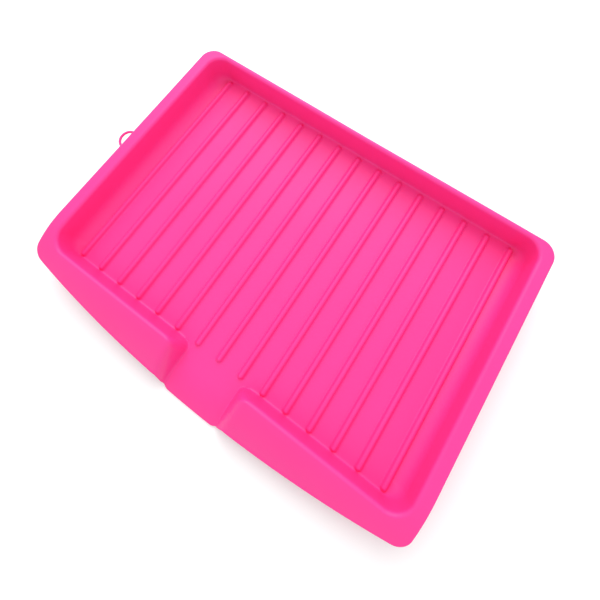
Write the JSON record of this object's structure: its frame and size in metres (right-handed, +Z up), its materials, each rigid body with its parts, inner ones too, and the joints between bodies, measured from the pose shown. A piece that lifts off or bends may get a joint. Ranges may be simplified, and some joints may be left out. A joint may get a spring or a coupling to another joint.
{
  "type": "dish drainer tray",
  "caption": "Rectangular ribbed plastic draining tray with a raised rim, a sloping front apron, a central pouring spout and a hanging loop on one short side.",
  "frame": {"origin": "centre of the overall footprint, on the worktop under the feet", "axes": "+X along the long side away from the hanging loop, +Y from the pouring spout to the back wall, +Z up"},
  "size_m": [0.431, 0.3102, 0.0523],
  "materials": {
    "tray_plastic": "satin moulded polypropylene",
    "underside_plastic": "fine matt moulded polypropylene"
  },
  "bodies": {
    "root": {"floor_panel": "tray_plastic", "back_wall": "tray_plastic", "left_wall": "tray_plastic", "right_wall": "tray_plastic", "front_wall_left": "tray_plastic", "front_wall_right": "tray_plastic", "back_flange": "tray_plastic", "left_flange": "tray_plastic", "right_flange": "tray_plastic", "front_apron_left": "tray_plastic", "front_apron_right": "tray_plastic", "drain_spout": "tray_plastic", "hanging_loop": "tray_plastic", "foot_front_left": "underside_plastic", "foot_front_right": "underside_plastic", "foot_back_left": "underside_plastic", "foot_back_right": "underside_plastic", "drain_rib_01": "tray_plastic", "drain_rib_02": "tray_plastic", "drain_rib_03": "tray_plastic", "drain_rib_04": "tray_plastic", "drain_rib_05": "tray_plastic", "drain_rib_06": "tray_plastic", "drain_rib_07": "tray_plastic", "drain_rib_08": "tray_plastic", "drain_rib_09": "tray_plastic", "drain_rib_10": "tray_plastic", "drain_rib_11": "tray_plastic", "drain_rib_12": "tray_plastic", "drain_rib_13": "tray_plastic", "drain_rib_14": "tray_plastic", "drain_rib_15": "tray_plastic"}
  },
  "joints": []
}
